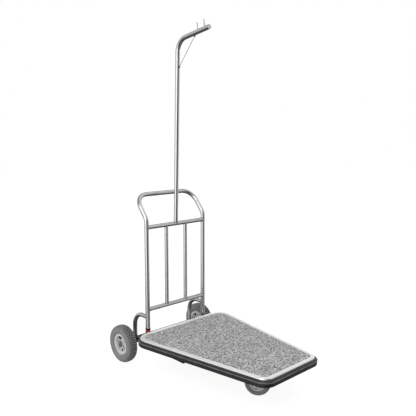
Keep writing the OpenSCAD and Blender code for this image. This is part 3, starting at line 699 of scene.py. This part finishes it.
for side, hand in ((-1, "left"), (1, "right")):
    makeTyre(
        "treadedTyre" + hand.capitalize(),
        rearTyre,
        (side * cart["wheelSide"], cart["axleY"], cart["wheelRadius"]),
        (side, 0, 0),
        "rear_wheel_" + hand,
        "rear_tyre_" + hand,
    )
makeTyre(
    "treadedTyreCaster",
    casterTyre,
    casterTyre["centre"],
    casterTyre["axis"],
    "caster_wheel",
    "caster_tyre",
)
print("stage: tyres")

# Fillet welds where one tube meets another: each gives the joint's middle on the main tube's axis,
# the way that the joining tube leaves it, the main tube's way, and the two radii, the joining tube's
# first. The bead sinks a little into the main tube, and its ripples stand out round it.
weld = {"bead": 0.0017, "lumps": 22, "lump": 0.0003, "sink": 0.3, "grip": 0.995}
barWelds = [
    (
        (s * cart["uprightX"], cart["uprightY"], z),
        (-s, 0, 0),
        (0, 0, 1),
        cart["barRadius"],
        cart["uprightRadius"],
    )
    for s in (-1, 1)
    for z in (cart["upperBarZ"], cart["lowerBarZ"])
]
ladderWelds = [
    (
        (s * cart["ladderX"], cart["uprightY"], z),
        (0, 0, up),
        (1, 0, 0),
        cart["ladderRadius"],
        cart["barRadius"],
    )
    for s in (-1, 1)
    for z, up in ((cart["upperBarZ"], -1), (cart["lowerBarZ"], 1))
]
poleWelds = [
    ((0, cart["uprightY"], cart["upperBarZ"]), (0, 0, 1), (1, 0, 0), cart["uprightRadius"], cart["barRadius"])
]
bracketWelds = [
    (
        (s * cart["uprightX"], cart["uprightY"], cart["bracketZ"]),
        (0, 1, 0),
        (0, 0, 1),
        cart["bracketRadius"],
        cart["uprightRadius"],
    )
    for s in (-1, 1)
]


def makeWelds():
    bm = bmesh.new()
    for place, leaves, mainWay, joining, main in barWelds + ladderWelds + poleWelds + bracketWelds:
        bead = bmesh.ops.create_circle(
            bm,
            segments=8,
            radius=weld["bead"],
            matrix=Matrix.Translation((joining, 0, 0)) @ Matrix.Rotation(math.pi / 2, 4, "X"),
        )["verts"]
        edges = list({e for v in bead for e in v.link_edges})
        before = set(bm.verts) - set(bead)
        bmesh.ops.spin(
            bm, geom=bead + edges, cent=(0, 0, 0), axis=(0, 0, 1), angle=2 * math.pi, steps=96, use_merge=True
        )
        loop = [v for v in bm.verts if v not in before]
        for v in loop:
            turn = math.atan2(v.co.y, v.co.x)
            reach = min(joining, main * weld["grip"])
            v.co.z += math.sqrt(main**2 - (reach * math.sin(turn)) ** 2) - weld["bead"] * weld["sink"]
            ripple = weld["lump"] * math.sin(weld["lumps"] * turn)
            v.co += Vector((math.cos(turn), math.sin(turn), 0)) * ripple
        out, across = Vector(leaves), Vector(mainWay)
        frameOf = Matrix((across, out.cross(across), out)).transposed().to_4x4()
        bmesh.ops.transform(bm, matrix=Matrix.Translation(place) @ frameOf, verts=loop)
    addPiece("weldBeads", bm, weldSteel, "stainless_tube", "cart_frame", sharp=60)


makeWelds()
print("stage: welds")

# Studio: white floor and surroundings, a soft key from the left front and a fill from above
studio = {
    "floorSize": 24.0,
    "worldStrength": 1.0,
    "roomStrength": 1.0,
    "floorGlow": 0.9,
    "floorFill": 0.3,
    "screenWay": (-0.191, -0.981, 0.0),
    "screenStops": [(0.72, 1.0), (0.93, 0.08)],
    "windowWay": (-0.914, -0.407, 0.0),
    "windowStops": [(0.6, 0.42), (0.93, 1.0)],
    "shadeWay": (-0.731, 0.682, 0.0),
    "shadeStops": [(0.0, 0.4), (0.9, 1.05)],
    "skyStops": [
        (0.0, 0.12),
        (1.0, 0.45),
        (0.3, 0.16),
        (0.39, 0.9),
        (0.5, 1.0),
        (0.7, 1.0),
        (0.85, 0.55),
    ],
    "mirrorStrength": 2.4,
    "keyPower": 60.0,
    "keySize": 2.5,
    "keyPlace": (-2.6, -1.4, 3.4),
    "fillPower": 25.0,
    "fillPlace": (1.2, -0.6, 4.0),
    "aim": (0, 0, 0.4),
}


def addSoftBox(name, place, size, power, target):
    data = bpy.data.lights.new(name, "AREA")
    data.shape = "SQUARE"
    data.size = size
    data.energy = power
    lamp = bpy.data.objects.new(name, data)
    bpy.context.scene.collection.objects.link(lamp)
    lamp.location = place
    lamp.rotation_euler = (Vector(target) - Vector(place)).to_track_quat("-Z", "Y").to_euler()


def makeStudio():
    mesh = bpy.data.meshes.new("studioFloor")
    bm = bmesh.new()
    bmesh.ops.create_grid(bm, x_segments=1, y_segments=1, size=studio["floorSize"] / 2)
    bm.to_mesh(mesh)
    bm.free()
    floor = bpy.data.objects.new("studioFloor", mesh)
    bpy.context.scene.collection.objects.link(floor)
    # Matt white paper that glows a little, so that shadows stay faint; polished metal doesn't see it
    material, tree, shader, place = newMaterial("whiteStudioFloor")
    soft = addNode(tree, "ShaderNodeTexNoise", {"Vector": place, "Scale": 3.0})
    tone = addNode(
        tree, "ShaderNodeValToRGB", {"Fac": soft.outputs["Fac"]}, stops=[(0.3, "#808080"), (0.7, "#848484")]
    )
    shader.inputs["Roughness"].default_value = 0.9
    shader.inputs["Emission Color"].default_value = (1, 1, 1, 1)
    path = addNode(tree, "ShaderNodeLightPath")
    glow = addNode(
        tree,
        "ShaderNodeMapRange",
        {
            "Value": path.outputs["Is Diffuse Ray"],
            "To Min": studio["floorGlow"],
            "To Max": studio["floorFill"],
        },
    )
    tree.links.new(glow.outputs[0], shader.inputs["Emission Strength"])
    tree.links.new(tone.outputs["Color"], shader.inputs["Base Color"])
    clear = addNode(tree, "ShaderNodeBsdfTransparent")
    either = addNode(
        tree,
        "ShaderNodeMixShader",
        {0: path.outputs["Is Glossy Ray"], 1: shader.outputs["BSDF"], 2: clear.outputs["BSDF"]},
    )
    tree.links.new(either.outputs[0], tree.nodes["Material Output"].inputs["Surface"])
    mesh.materials.append(material)

    # The room is plain white to the eye. Polished metal mirrors three soft patterns instead: a dark
    # screen, a bright window and a banded sky, which give the tubes their streaks. Matt surfaces
    # are lit by a room that is a little darker on one side.
    world = bpy.data.worlds.new("studioWorld")
    world.use_nodes = True
    tree = world.node_tree
    plain = tree.nodes["Background"]
    plain.inputs["Color"].default_value = (1, 1, 1, 1)
    plain.inputs["Strength"].default_value = studio["worldStrength"]
    way = addNode(tree, "ShaderNodeTexCoord").outputs["Generated"]
    patterns = []
    for kind in ("screen", "window", "shade"):
        towards = addNode(
            tree, "ShaderNodeVectorMath", {0: way, 1: studio[kind + "Way"]}, operation="DOT_PRODUCT"
        )
        lobe = addNode(
            tree, "ShaderNodeValToRGB", {"Fac": towards.outputs["Value"]}, stops=studio[kind + "Stops"]
        )
        patterns.append(lobe.outputs["Color"])
    streaks = addNode(tree, "ShaderNodeVectorMath", {0: patterns[0], 1: patterns[1]}, operation="MULTIPLY")
    height = addNode(tree, "ShaderNodeSeparateXYZ", {0: way}).outputs["Z"]
    lifted = addNode(tree, "ShaderNodeMapRange", {"Value": height, "From Min": -1.0, "From Max": 1.0})
    sky = addNode(tree, "ShaderNodeValToRGB", {"Fac": lifted.outputs[0]}, stops=studio["skyStops"])
    both = addNode(
        tree,
        "ShaderNodeVectorMath",
        {0: streaks.outputs[0], 1: sky.outputs["Color"]},
        operation="MULTIPLY",
    )
    mirrored = addNode(
        tree, "ShaderNodeBackground", {"Color": both.outputs[0], "Strength": studio["mirrorStrength"]}
    )
    path = addNode(tree, "ShaderNodeLightPath")
    shaded = addNode(tree, "ShaderNodeBackground", {"Color": patterns[2], "Strength": studio["roomStrength"]})
    dull = addNode(
        tree,
        "ShaderNodeMixShader",
        {0: path.outputs["Is Diffuse Ray"], 1: plain.outputs[0], 2: shaded.outputs[0]},
    )
    either = addNode(
        tree,
        "ShaderNodeMixShader",
        {0: path.outputs["Is Glossy Ray"], 1: dull.outputs[0], 2: mirrored.outputs[0]},
    )
    tree.links.new(either.outputs[0], tree.nodes["World Output"].inputs["Surface"])
    bpy.context.scene.world = world
    addSoftBox("keySoftBox", studio["keyPlace"], studio["keySize"], studio["keyPower"], studio["aim"])
    addSoftBox("fillSoftBox", studio["fillPlace"], studio["keySize"], studio["fillPower"], studio["aim"])
    bpy.context.scene.view_settings.view_transform = "Standard"


makeStudio()
print("stage: studio")
